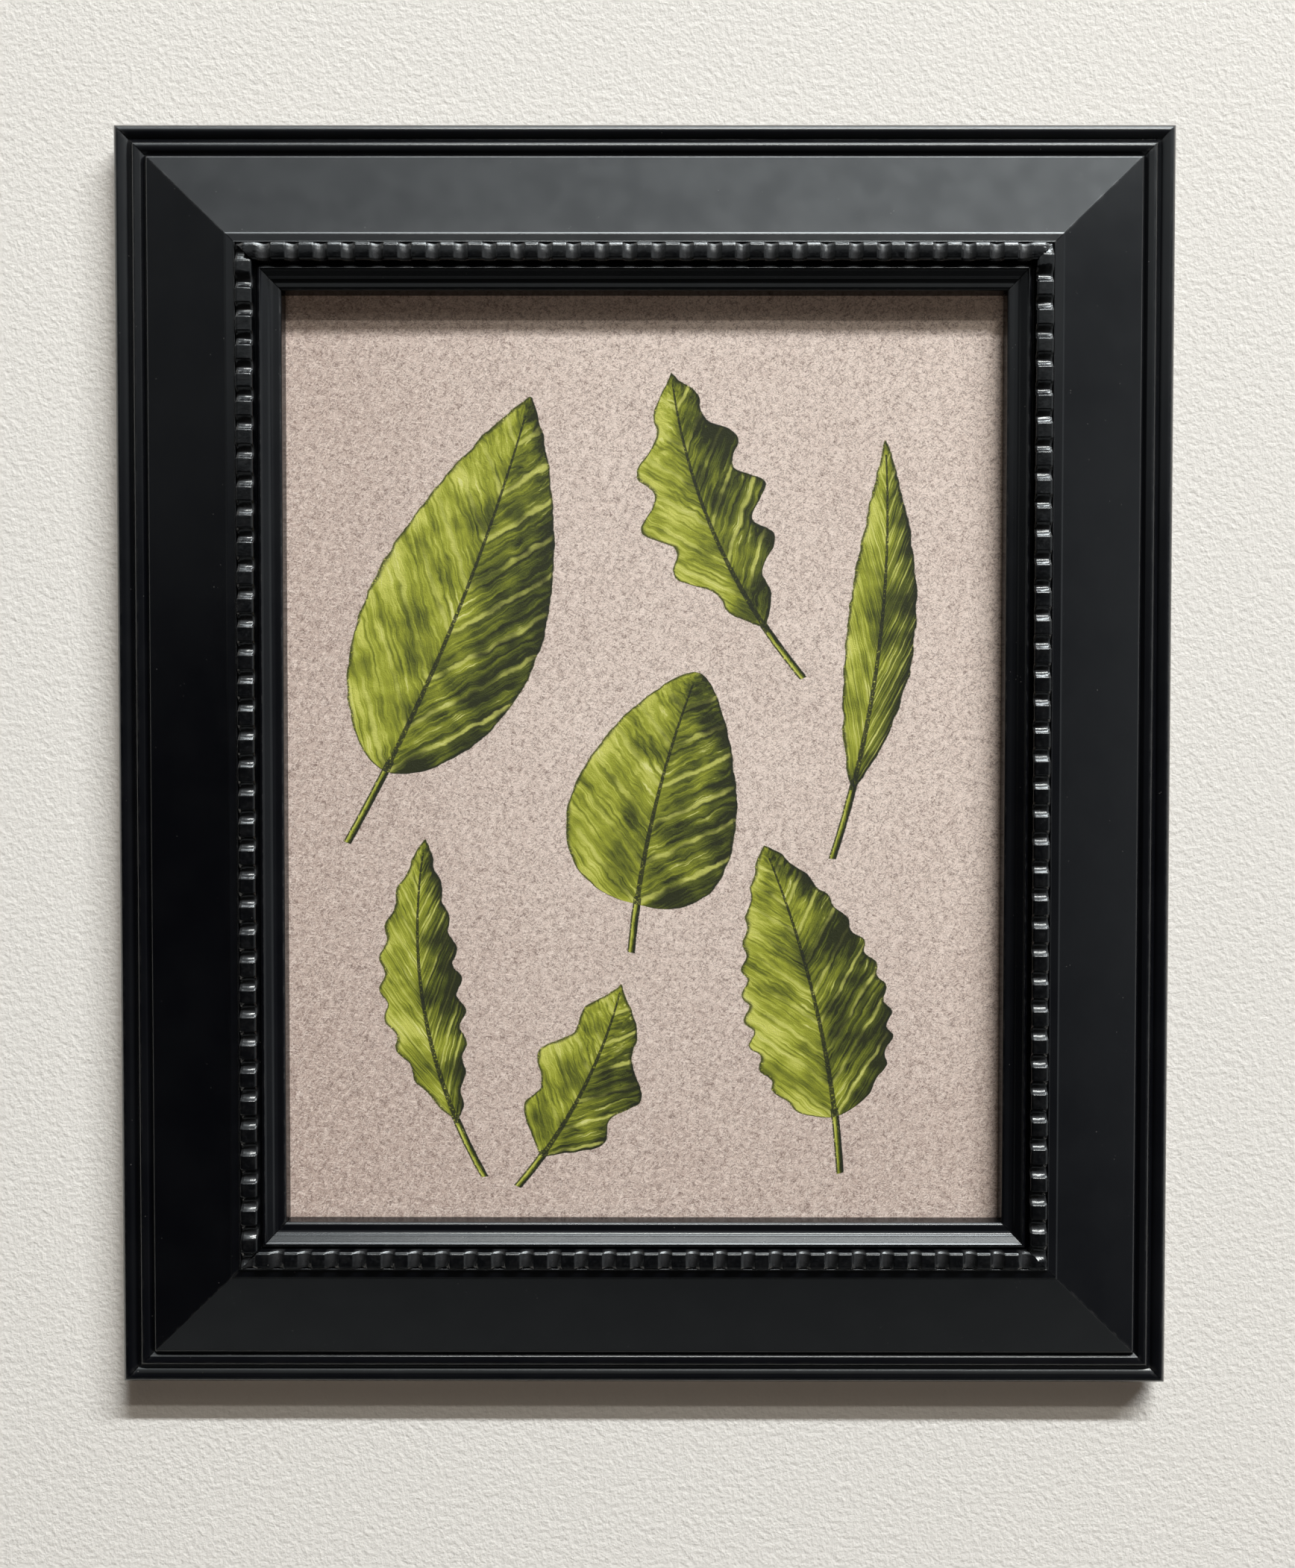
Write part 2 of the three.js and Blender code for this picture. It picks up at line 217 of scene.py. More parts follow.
LIP_EDGE = (67.0, REBATE_DEPTH)

RAIL_PARTS = [  # line, points on it, easing at its start
    ([BACK_START, REBATE_FOOT], 10, 0.25),
    ([REBATE_FOOT, REBATE_TOP], 8, 0.25),
    ([REBATE_TOP, LIP_EDGE], 6, 0.15),
    ([LIP_EDGE, NOSE_FOOT], 8, 0.35),
    (arc(NOSE_FOOT, NOSE_TOP, -0.16), 8, 0.2),
    ([NOSE_TOP, COVE_FOOT], 4, 0.2),
    (arc(COVE_FOOT, COVE_HEAD, 0.33), 14, 0.1),
    ([COVE_HEAD, CREST_FOOT], 5, 0.3),
    ([CREST_FOOT, CREST], 3, 0.14),
    ([CREST, CREST_BACK], 4, 0.2),
    ([CREST_BACK, CHANNEL_IN], 5, 0.25),
    ([CHANNEL_IN, CHANNEL_OUT], 4, 0.1),
    ([CHANNEL_OUT, RIM], 5, 0.1),
    ([RIM, RIM_BEAD], 3, 0.12),
    ([RIM_BEAD, RIM_FOOT], 3, 0.12),
    ([RIM_FOOT, FILLET_START], 7, 0.12),
    ([FILLET_START, SHOULDER], 2, 0.08),
    ([SHOULDER, BAND_END], 4, 0.1),
    ([BAND_END, BAND_START], 16, 0.1),
    (arc(BAND_START, BAND_FOOT, -0.2), 9, 0.3),
    ([BAND_FOOT, CREASE_2], 4, 0.12),
    ([CREASE_2, REED_2_BEVEL], 5, 0.06),
    (arc(REED_2_BEVEL, REED_2_TOP, -0.04, 20), 5, 0.25),
    (arc(REED_2_TOP, REED_2_SIDE, -0.173, 40), 12, 0.02),
    (arc(REED_2_SIDE, CREASE_1, -0.118, 40), 14, 0.02),
    (arc(CREASE_1, REED_1_TOP, -0.3, 60), 14, 0.06),
    (arc(REED_1_TOP, REED_1_SIDE, -0.198, 40), 12, 0.02),
    (arc(REED_1_SIDE, EDGE_TOP, -0.12, 40), 10, 0.02),
    ([EDGE_TOP, EDGE_FOOT], 6, 0.15),
    ([EDGE_FOOT, BACK_START], 3, 0.2),
]
BACK_PART, LAST_BARE_PART = 0, 2  # the back, and the rebate's wall and shelf, are bare wood
RAIL_OUTLINE, RAIL_PART = eased_outline(RAIL_PARTS)
RAIL_OUT = outward(RAIL_OUTLINE)
RAIL_GIRTH, RAIL_TOTAL = girth_of(RAIL_OUTLINE)
MITRE_GAP = 0.04  # each mitre face stands this far back
MITRE_EASE = 0.13
RAIL_STATIONS = 190
FACE_SWAY, RIM_SWAY = 0.012, 0.1
WORN_TURN = 0.16  # an edge that turns this much from point to point wears fully


def rail(side):
    """The section carried along x. A point at depth u runs to half - u - gap on both ends, so that
    four sticks close on their mitres; the last ring is drawn in by the mitre's easing. A slow
    ripple along the face, and a quicker one on the channel's rim, move points along their normals.
    bare marks wood without lacquer, thinning out over 3 mm at the back's outer edge, where spray
    reached it; ridge marks the edges that wear.
    """
    half = SIDES[side][0]
    end = half - RAIL_OUTLINE[:, 0] - MITRE_GAP
    x = np.linspace(-1, 1, RAIL_STATIONS)[:, None] * (end - MITRE_EASE)
    x = np.concatenate([-end[None], x, end[None]])
    seed = sorted(SIDES).index(side)
    u = np.broadcast_to(RAIL_OUTLINE[:, 0], x.shape)
    h = np.broadcast_to(RAIL_OUTLINE[:, 1], x.shape)
    face = np.clip((h - 3) / 3, 0, 1)
    sway = FACE_SWAY * face * ripple(x, u, 10 + seed, 90, 22)
    rim = np.exp(-(((u - RIM_BEAD[0]) / 0.5) ** 2)) * (h > 24.5)
    rim_sway = RIM_SWAY * rim * ripple(x, 0, 20 + seed, 24, 7)
    drawn = np.zeros_like(x)
    drawn[[0, -1]] = MITRE_EASE
    u = u + RAIL_OUT[:, 0] * (sway - drawn) + rim_sway
    h = h + RAIL_OUT[:, 1] * (sway - drawn) + 0.4 * rim_sway
    from_edge = np.clip((RAIL_OUTLINE[:, 0] - BACK_START[0]) / 3, 0, 1)
    unsprayed = np.where(RAIL_PART == BACK_PART, from_edge, 1.0)
    bare = np.broadcast_to((RAIL_PART <= LAST_BARE_PART) * unsprayed, x.shape)
    ridge = np.clip(turning(RAIL_OUTLINE) / WORN_TURN, 0, 1)
    ridge = np.broadcast_to(ridge, x.shape).copy()
    ridge[[0, 1, -2, -1]] = 1.0
    uv = ring_uv(x, RAIL_GIRTH, RAIL_TOTAL)
    return rings_piece(f"moulding_{side}", on_side(x, u, h, side), uv=uv,
                       masks={"bare": bare, "ridge": ridge})


# ---- Ribbed strips ----

STRIP_FROM_U, STRIP_FROM_H = 51.7, 22.8
STRIP_MIDDLE = 3.1
RIB_PITCH = 10.2
GROOVE_HALF = 2.7
GROOVE_OFFSET = {"top": 5.1, "bottom": -2.4, "left": 0.0, "right": 2.4}
# Painted sheen: each side's share of a paler grey in the grooves, standing for the light they
# catch.
GROOVE_SHEEN = {"top": 1.0, "bottom": 0.62, "left": 0.25, "right": 0.25}
PAD_STATIONS = [2.85, 3.3, 4.2, 5.1, 6.0, 6.9, 7.35]  # across a pad, from a groove's middle
STRIP_OVAL = [  # pad's corner, groove's corner (inwards, forward), easing there, points after it
    ((0.0, 0.0), (0.0, 0.0), 0.1, 3),
    ((6.3, 0.0), (6.3, 0.0), 0.1, 4),
    ((6.25, 2.4), (6.25, 1.4), 0.5, 5),
    ((6.2, 4.05), (6.15, 2.4), 0.3, 5),
    ((5.5, 4.75), (5.5, 3.1), 0.3, 8),
    ((3.1, 5.05), (3.1, 3.45), 1.2, 7),
    ((1.05, 4.93), (1.05, 3.25), 0.25, 5),
    ((0.05, 4.42), (0.1, 2.8), 0.2, 4),
    ((0.0, 3.0), (0.0, 1.8), 0.3, 4),
]


def strip_section(which, ease_share):
    """The closed section of the strip through a pad (0) or through a groove (1)."""
    corners = [row[which] for row in STRIP_OVAL]
    nexts = corners[1:] + corners[:1]
    return eased_outline([([a, b], count, ease * ease_share)
                          for a, b, (_, _, ease, count) in zip(corners, nexts, STRIP_OVAL)])[0]


PAD_SECTION, GROOVE_SECTION = strip_section(0, 1.0), strip_section(1, 0.6)


def ribbed_strip(side):
    """Pads with scooped grooves: the section slides from the pad's towards the groove's by
    1 - (d / w)^1.8, d being the distance from the nearest groove's middle and w its half
    width. The strip is cast by hand: each pad has its own height and roll, each groove its place
    and depth. ridge marks the pads' tops; groove_sheen marks the grooves for a painted sheen,
    a paler grey that stands for the light they catch, strongest on the top strip.
    """
    half = SIDES[side][0]
    seed = sorted(SIDES).index(side)
    draw = np.random.default_rng(40 + seed)
    count = int(half / RIB_PITCH) + 2
    grooves = GROOVE_OFFSET[side] + RIB_PITCH * np.arange(-count, count + 1)
    within = np.concatenate([np.linspace(-1, 1, 19) * GROOVE_HALF, PAD_STATIONS])
    s = (grooves[:, None] + within).ravel()
    u = STRIP_FROM_U + PAD_SECTION[:, 0]
    end = half - u - 0.1
    near = end.min() - 6
    s = s[np.abs(s) < near]
    tail = np.linspace(0, 1, 13)[1:, None] * (end - near) + near
    x = np.concatenate([-tail[::-1], np.broadcast_to(s[:, None], (len(s), len(u))), tail])
    shift = draw.uniform(-0.13, 0.13, len(grooves))
    depth = draw.uniform(0.88, 1.0, len(grooves))
    nearest = np.clip(np.round((x - grooves[0]) / RIB_PITCH).astype(int), 0, len(grooves) - 1)
    d = np.clip(np.abs(x - (grooves + shift)[nearest]) / GROOVE_HALF, 0, 1)
    scoop = (1 - d**1.8) * depth[nearest]
    section = (1 - scoop[..., None]) * PAD_SECTION + scoop[..., None] * GROOVE_SECTION
    w, y = section[..., 0], section[..., 1]
    pad = np.floor((x - grooves[0]) / RIB_PITCH).astype(int)
    lift = draw.uniform(-0.07, 0.07, pad.max() + 2)[pad] + 0.03 * ripple(x, u, 50 + seed, 9, 4)
    lift = lift + draw.uniform(-0.09, 0.09, pad.max() + 2)[pad] * (w / STRIP_MIDDLE - 1)
    sway = 0.05 * ripple(x, 0, 60 + seed, 12, 4) * np.sin(pi * y / 5.1)
    top = np.clip(y / 3, 0, 1)
    swayed = w + sway * top * np.where(w < 3, 1.0, -1.0)
    rings = on_side(x, STRIP_FROM_U + swayed, STRIP_FROM_H + y + lift * top, side)
    # groove_sheen carries the grooves' painted sheen, a paler grey standing for caught light.
    masks = {"ridge": np.clip(1.15 * (1 - scoop) * (y > 4.2), 0, 1),
             "groove_sheen": scoop * np.clip(y / 2, 0, 1) * GROOVE_SHEEN[side]}
    uv = ring_uv(x, *girth_of(PAD_SECTION))
    return rings_piece(f"ribbing_{side}", rings, uv=uv, masks=masks, sharp=60)


# ---- Sheet and boards ----

BOARD_FOOT = -179.7  # every board's lower edge, from the frame's centre


def slab(name, width, height, front, thick, ease, cells, waviness, seed):
    """Two sheets of points, (x, z) on a grid, at the front and back heights, joined round the rim.
    The outermost row on each face is drawn back by the easing; the front sways by the waviness.
    """
    def lines(size, count):
        inner = np.linspace(ease, size - ease, count)
        return np.concatenate([[0], inner, [size]])

    xs, zs = lines(width, cells[0]), lines(height, cells[1])
    x, z = np.meshgrid(xs - width / 2, zs + BOARD_FOOT, indexing="ij")
    rim = np.ones_like(x)
    rim[1:-1, 1:-1] = 0
    sway = waviness * ripple(x, z, seed, 260, 60)
    faces = [front - ease * rim + sway, front - thick + ease * rim + sway]
    points = np.stack([np.stack([x, -h, z - HOOK_Z], -1) for h in faces])
    m, n = x.shape
    i, j = np.meshgrid(np.arange(m - 1), np.arange(n - 1), indexing="ij")
    a = (i * n + j).ravel()
    front_rows = np.stack([a, a + n, a + n + 1, a + 1], 1)
    back_rows = front_rows[:, ::-1] + m * n
    number = np.arange(m * n).reshape(m, n)
    loop = np.concatenate([number[:-1, 0], number[-1, :-1], number[:0:-1, -1], number[0, :0:-1]])
    after = np.roll(loop, -1)
    side_rows = np.stack([loop + m * n, after + m * n, after, loop], 1)
    quads = np.concatenate([front_rows, back_rows, side_rows])
    return build(name, points.reshape(-1, 3), quads, sharp=50)


# ---- Hardware ----


def eased_plate(name, outline, ease, place):
    """A flat piece: its outline drawn in by the easing at each face and full size between them.
    place turns (outline point, share of the thickness, lift off that face) into the frame.
    """
    out = outward(outline)
    steps = [(1.0, 0.0, 0.0), (0.3, 0.0, 0.3), (0.0, 0.0, 1.0), (0.0, 1.0, -1.0),
             (0.3, 1.0, -0.3), (1.0, 1.0, 0.0)]
    rings = [place(outline - out * (draw * ease), share, lift * ease)
             for draw, share, lift in steps]
    return rings_piece(name, np.stack(rings), sharp=35)


def smooth_outline(corners, ease, per_side):
    """A closed outline with every corner eased by the same length."""
    nexts = corners[1:] + corners[:1]
    return eased_outline([([a, b], per_side, ease) for a, b in zip(corners, nexts)])[0]


POINT_WIDTH, POINT_THICK, POINT_BACK = 11.0, 0.8, 7.0
POINT_BITE, POINT_REACH, POINT_TIP = 5.0, 8.0, 2.5
TAIL_RISE, TAIL_FLAT = 0.5, 2  # the tail's turned-up end, and its flat start by the wall
POINTS_ON_SIDE = {"top": 2, "bottom": 2, "left": 3, "right": 3}


def glazing_point(side, x, number):
    """A flat blade whose tip is in the wood and whose tail lies over the boards. Its tail is
    turned up by a parabola, 0.5 mm at the end, so that a finger can push it."""
    w, tip, tail = POINT_WIDTH / 2, REBATE_WALL - POINT_BITE, REBATE_WALL + POINT_REACH
    corners = [(x - w, tip + POINT_TIP), (x, tip), (x + w, tip + POINT_TIP), (x + w, tail),
               (x - w, tail)]

    def place(at, share, lift):
        past = (at[:, 1] - REBATE_WALL - TAIL_FLAT) / (POINT_REACH - TAIL_FLAT)
        rise = TAIL_RISE * np.clip(past, 0, 1) ** 2
        return on_side(at[:, 0], at[:, 1], POINT_BACK + POINT_THICK * share + lift - rise, side)

    outline = smooth_outline(corners, 0.5, 7)
    return eased_plate(f"glazing_point_{side}_{number}", outline, 0.12, place)


WEDGE_LEG, WEDGE_THICK, WEDGE_DEPTH = 6.0, 0.8, 7.0
WEDGE_BEND, WEDGE_SWING, WEDGE_WAVE = 0.45, 0.16, 2.4
WEDGES_AT = (20.0, 42.0)
WEDGE_ACROSS = [-0.36, -0.40, -0.40, -0.30, 0.30, 0.40, 0.40, 0.36]  # shares of the thickness
WEDGE_SUNK = [WEDGE_DEPTH, WEDGE_DEPTH - 0.2, 0.0, -0.08, -0.08, 0.0, WEDGE_DEPTH - 0.2,
              WEDGE_DEPTH]


def corner_wedge(name, sx, sz, u):
    """A thin rippled strip bent to an L whose corner lies on the mitre, driven in from the back:
    its middle line runs down one leg and up the other, and swings by a sine on the way."""
    s = np.linspace(-WEDGE_LEG, WEDGE_LEG, 61)
    leg = np.sqrt(s**2 + WEDGE_BEND**2) - WEDGE_BEND
    swing = WEDGE_SWING * np.sin(2 * pi * s / WEDGE_WAVE) * (np.abs(s) > 0.6)
    p = np.where(s < 0, leg, 0) + np.where(s >= 0, swing, 0)
    q = np.where(s > 0, leg, 0) + np.where(s < 0, swing, 0)
    middle = np.stack([u - WEDGE_THICK / 2 - p, u - WEDGE_THICK / 2 - q], 1)
    tangent = np.gradient(middle, axis=0)
    tangent /= np.linalg.norm(tangent, axis=1)[:, None]
    normal = np.stack([-tangent[:, 1], tangent[:, 0]], 1)
    across = np.array(WEDGE_ACROSS) * WEDGE_THICK
    at = middle[:, None] + normal[:, None] * across[None, :, None]
    x, z = sx * (HALF_WIDTH - at[..., 0]), sz * (HALF_HEIGHT - at[..., 1]) - HOOK_Z
    rings = np.stack([x, np.broadcast_to(-np.array(WEDGE_SUNK), x.shape), z], -1)
    if sx * sz > 0:
        rings = rings[:, ::-1]
    return rings_piece(name, rings, sharp=50)


HANGER_HALF, HANGER_FOOT, HANGER_RAMP, HANGER_RISE = 23.0, 8.0, 2.0, 1.2
HANGER_SEAT, HANGER_THICK, HANGER_WIDTH, HANGER_CORNER = 0.3, 0.8, 11.0, 1.2
TOOTH_DEPTH, NOTCHES = 2.2, 11
HANGER_EASE, HANGER_END = 0.12, 0.15


def smoothstep(low, high, value):
    """0 below low, 1 above high, and 3t^2 - 2t^3 between them."""
    t = np.clip((value - low) / (high - low), 0, 1)
    return t * t * (3 - 2 * t)


def hanger_plate():
    """A strip of metal whose section, 0.8 thick, runs along x. Its height off the wood is a smooth
    step up to the bridge and down again, and its lower edge a row of rounded notches."""
    flat = HANGER_HALF - HANGER_FOOT - HANGER_RAMP
    pitch = 2 * flat / (NOTCHES + 1)
    x = np.concatenate([[-HANGER_HALF, -HANGER_HALF + HANGER_END], np.linspace(-22.5, 22.5, 361),
                        [HANGER_HALF - HANGER_END, HANGER_HALF]])
    size = np.abs(x)
    rise = HANGER_SEAT + HANGER_RISE * (1 - smoothstep(flat, flat + HANGER_RAMP, size))
    notch = (x / pitch + NOTCHES / 2) % 1
    cut = np.clip(1.06 - np.abs(notch - 0.5) * 2 / 0.92, 0, 1) ** 0.9
    cut = np.where(size < flat - 0.5 * pitch, cut, 0)
    low, high = -TOOTH_DEPTH + TOOTH_DEPTH * cut, np.full_like(x, HANGER_WIDTH - TOOTH_DEPTH)
    corner = np.clip((size - HANGER_HALF + HANGER_CORNER) / HANGER_CORNER, 0, 1) ** 2
    low, high = low + HANGER_CORNER * corner, high - HANGER_CORNER * corner
    e, thick = HANGER_EASE, HANGER_THICK
    z = np.stack([low + e, low, low, low + e, high - e, high, high, high - e], 1)
    y = rise[:, None] + np.array([0, e, thick - e, thick, thick, thick - e, e, 0])
    x = np.broadcast_to(x[:, None], z.shape)
    return rings_piece("sawtooth_hanger", np.stack([x, y, z], -1), sharp=35)


def turned(name, profile, x, z, sides):
    """A profile of (radius, y) turned about Y at (x, z), closed by its two small end rings."""
    r, y = np.array(profile).T[..., None]
    angle = 2 * pi * np.arange(sides) / sides
    rings = np.stack([x + r * np.cos(angle), np.broadcast_to(y, (len(r), sides)),
                      z + r * np.sin(angle)], -1)
    return rings_piece(name, rings[:, ::-1], sharp=35)


NAIL_X, NAIL_Z, NAIL_HEAD = 19.0, 3.3, 1.72
NAIL_PROFILE = [  # tip, shank and the head's underside
    (0.04, -11.0), (0.3, -10.2), (0.58, -9.5), (0.58, 1.12), (1.5, 1.12), (1.68, 1.25)]
BUMPER_X, BUMPER_Z, BUMPER_END = 184.0, -432.0, 2.69
BUMPER_PROFILE = [(0.3, 0.32), (5.6, 0.32), (5.88, 0.6)]


def hanger_nail(side, x):
    """Tip, shank and a domed head, whose dome is r = R cos t, y = 1.42 + 0.3 (sin t)^1.2."""
    t = np.linspace(0.12, pi / 2 - 0.02, 9)
    dome = np.stack([NAIL_HEAD * np.cos(t), 1.42 + 0.3 * np.sin(t) ** 1.2], 1)
    return turned(f"hanger_nail_head_{side}", [*NAIL_PROFILE, *dome], x, NAIL_Z, 32)


def felt_bumper(side, x, z):
    """A disc of felt whose rim by the wall is rounded by a quarter of an ellipse, r = 5.2 +
    0.75 cos t, y = 2.1 + 0.58 sin t."""
    t = np.linspace(0, pi / 2, 7)
    rim = np.stack([5.2 + 0.75 * np.cos(t), 2.1 + 0.58 * np.sin(t)], 1)
    profile = [*BUMPER_PROFILE, *rim, (3.5, BUMPER_END), (0.3, BUMPER_END)]
    return turned(f"felt_pad_{side}", profile, x, z, 64)


# ---- Shader tools ----


def srgb(r, g, b):
    """A paint colour, 0 to 255, as the linear colour that a shader takes."""
    c = np.array([r, g, b]) / 255
    c = np.where(c <= 0.04045, c / 12.92, ((c + 0.055) / 1.055) ** 2.4)
    return (*[float(v) for v in c], 1.0)


class Wire:
    """A socket used in a formula: + - * and / between wires and numbers place Math nodes."""

    def __init__(self, tree, socket):
        self.tree, self.socket = tree, socket

    def __add__(self, other):
        return calc("ADD", self, other)

    def __sub__(self, other):
        return calc("SUBTRACT", self, other)

    def __rsub__(self, other):
        return calc("SUBTRACT", other, self)

    def __mul__(self, other):
        return calc("MULTIPLY", self, other)

    def __truediv__(self, other):
        return calc("DIVIDE", self, other)


def put(tree, socket, value):
    """Link a wire to the socket, or set the socket's own value."""
    if isinstance(value, Wire):
        tree.links.new(value.socket, socket)
    else:
        socket.default_value = value


def node(tree, kind, inputs=None, **settings):
    """A new node with its settings and, by name or number, its inputs."""
    made = tree.nodes.new(kind)
    for key, value in settings.items():
        setattr(made, key, value)
    for key, value in (inputs or {}).items():
        put(tree, made.inputs[key], value)
    return made


def wire(tree, kind, inputs=None, output=0, **settings):
    """A new node's output as a wire."""
    return Wire(tree, node(tree, kind, inputs, **settings).outputs[output])


def calc(operation, a, b=0.0):
    """A Math node on wires or numbers, at least one of them a wire."""
    tree = (a if isinstance(a, Wire) else b).tree
    return wire(tree, "ShaderNodeMath", {0: a, 1: b}, operation=operation)


def remap(value, low, high, to_low=0.0, to_high=1.0):
    """A smooth step from to_low, where value is low, to to_high, where it is high."""
    inputs = {0: value, 1: low, 2: high, 3: to_low, 4: to_high}
    return wire(value.tree, "ShaderNodeMapRange", inputs, interpolation_type="SMOOTHSTEP")


def blend(share, a, b):
    """The colour a where share is 0, and b where it is 1."""
    return wire(share.tree, "ShaderNodeMix", {0: share, 6: a, 7: b}, 2, data_type="RGBA")


def noise(place, size, detail=2.0, roughness=0.5, distortion=0.0):
    """Noise whose blotches are about size millimetres, on a place in millimetres."""
    inputs = {"Vector": place, "Scale": 1 / size, "Detail": detail, "Roughness": roughness,
              "Distortion": distortion}
    return wire(place.tree, "ShaderNodeTexNoise", inputs)


def on_vector(operation, place, second):
    """A Vector Math node on a place and a second place or three numbers."""
    return wire(place.tree, "ShaderNodeVectorMath", {0: place, 1: second}, operation=operation)


def stretch(place, x, y, z):
    """The place times three numbers, which draws a pattern out where they are small."""
    return on_vector("MULTIPLY", place, (x, y, z))


def turn(place, angle):
    """The place turned about Z by an angle in radians."""
    inputs = {"Vector": place, "Angle": angle}
    return wire(place.tree, "ShaderNodeVectorRotate", inputs, rotation_type="Z_AXIS")


def apart(place):
    """The three numbers of a place."""
    made = node(place.tree, "ShaderNodeSeparateXYZ", {0: place})
    return [Wire(place.tree, socket) for socket in made.outputs]


def flat_place(x, y):
    """A place in a plane, from its two numbers."""
    return wire(x.tree, "ShaderNodeCombineXYZ", {0: x, 1: y})


def mask(tree, name):
    """A value that the piece's mesh carries at its points."""
    return wire(tree, "ShaderNodeAttribute", output="Fac", attribute_name=name)


def bump(height, depth):
    """depth is the relief in millimetres of a height from 0 to 1."""
    inputs = {"Height": height, "Distance": depth * MM, "Strength": 1.0}
    return wire(height.tree, "ShaderNodeBump", inputs)


def group(name, inputs, outputs):
    """An empty shader group with its named sockets: its given wires, and how to put its results."""
    tree = bpy.data.node_groups.new(name, "ShaderNodeTree")
    kinds = {"f": "NodeSocketFloat", "v": "NodeSocketVector", "c": "NodeSocketColor"}
    for way, sockets in (("INPUT", inputs), ("OUTPUT", outputs)):
        for key, kind in sockets.items():
            tree.interface.new_socket(name=key, in_out=way, socket_type=kinds[kind])
    given = {out.name: Wire(tree, out) for out in tree.nodes.new("NodeGroupInput").outputs}
    results = tree.nodes.new("NodeGroupOutput").inputs

    def give(**values):
        for key, value in values.items():
            put(tree, results[key], value)
        return tree

    return given, give


def use(shared, place, **inputs):
    """A shared effect set in a material at a place: its outputs by name."""
    made = node(place.tree, "ShaderNodeGroup", node_tree=shared)
    for key, value in {"Place": place, **inputs}.items():
        put(place.tree, made.inputs[key.replace("_", " ")], value)
    return {out.name: Wire(place.tree, out) for out in made.outputs}


def material(name):
    """A new material, its node tree, and the point on the piece in millimetres of the frame."""
    made = bpy.data.materials.new(name)
    made.use_nodes = True
    tree = made.node_tree
    tree.nodes.clear()
    metres = wire(tree, "ShaderNodeTexCoord", output="Object")
    place = wire(tree, "ShaderNodeVectorMath", {0: metres, "Scale": 1 / MM}, operation="SCALE")
    return made, tree, place


def joined(operation, shapes, key):
    """One value from the same output of several shapes, two at a time."""
    total = shapes[0][key]
    for shape in shapes[1:]:
        total = calc(operation, shape[key], total)
    return total


def principled(tree, **inputs):
    """The material's shader, its inputs given by name, and the material's output node."""
    named = {key.replace("_", " "): value for key, value in inputs.items()}
    shader = wire(tree, "ShaderNodeBsdfPrincipled", named)
    return shader, node(tree, "ShaderNodeOutputMaterial", {"Surface": shader})


# ---- Shared effects ----


def sprayed_skin():
    """Sprayed finish: fine orange peel and slow unevenness as a height, a roughness that varies
    about a middle value, and a mask of settled dust specks."""
    given, give = group("sprayed skin",
                        {"Place": "v", "Peel size": "f", "Roughness": "f", "Spread": "f"},
                        {"Height": "f", "Roughness": "f", "Dust": "f"})
    place = given["Place"]
    shrink = calc("DIVIDE", 1.0, given["Peel size"])
    scaled = wire(place.tree, "ShaderNodeVectorMath", {0: place, "Scale": shrink},
                  operation="SCALE")
    cloud = remap(noise(place, 14.0, 4.0, 0.6), 0.3, 0.7, -1.0, 1.0)
    speck = wire(place.tree, "ShaderNodeTexVoronoi", {"Vector": place, "Scale": 0.45}, "Distance")
    speck_size = remap(noise(place, 5.0, 1.0), 0.55, 0.75, 0.0, 0.11)
    return give(Height=noise(scaled, 1.0) * 0.8 + noise(scaled, 7.0) * 0.2,
                Roughness=cloud * given["Spread"] + given["Roughness"],
                Dust=calc("LESS_THAN", speck, speck_size))


def worn_edge():
    """Edge wear: a ridge mask broken up by noise, so that it comes and goes along an edge."""
    given, give = group("worn edge", {"Place": "v", "Ridge": "f", "Amount": "f"}, {"Wear": "f"})
    broken = remap(noise(given["Place"], 4.0, 4.0, 0.65), 0.42, 0.72)
    return give(Wear=remap(given["Ridge"], 0.45, 0.95) * broken * given["Amount"])


def timber_grain():
    """Wood grain along x of a stretched place: pale and dark streaks with fine pores."""
    given, give = group("timber grain", {"Place": "v", "Pale": "c", "Dark": "c"},
                        {"Color": "c", "Height": "f"})
    place = given["Place"]
    streaks = noise(stretch(place, 0.035, 1.0, 1.0), 1.6, 5.0, 0.6, 0.6)
    bands = noise(stretch(place, 0.012, 1.0, 1.0), 7.0, 2.0, 0.5, 0.8)
    share = streaks * 0.55 + bands * 0.45
    pores = remap(noise(stretch(place, 0.06, 1.0, 1.0), 0.35), 0.62, 0.7)
    colour = blend(remap(share, 0.36, 0.64), given["Pale"], given["Dark"])
    return give(Color=blend(pores * 0.35, colour, (0.05, 0.03, 0.015, 1)),
                Height=share - pores * 0.4)


LEAF_SHAPE = ("Length", "Width", "Fullness", "Roundness", "Bend", "Lobes", "Lobing", "Veins")
STALK_LENGTH = 0.2  # share of the leaf's length
STALK_HALF = 1.25


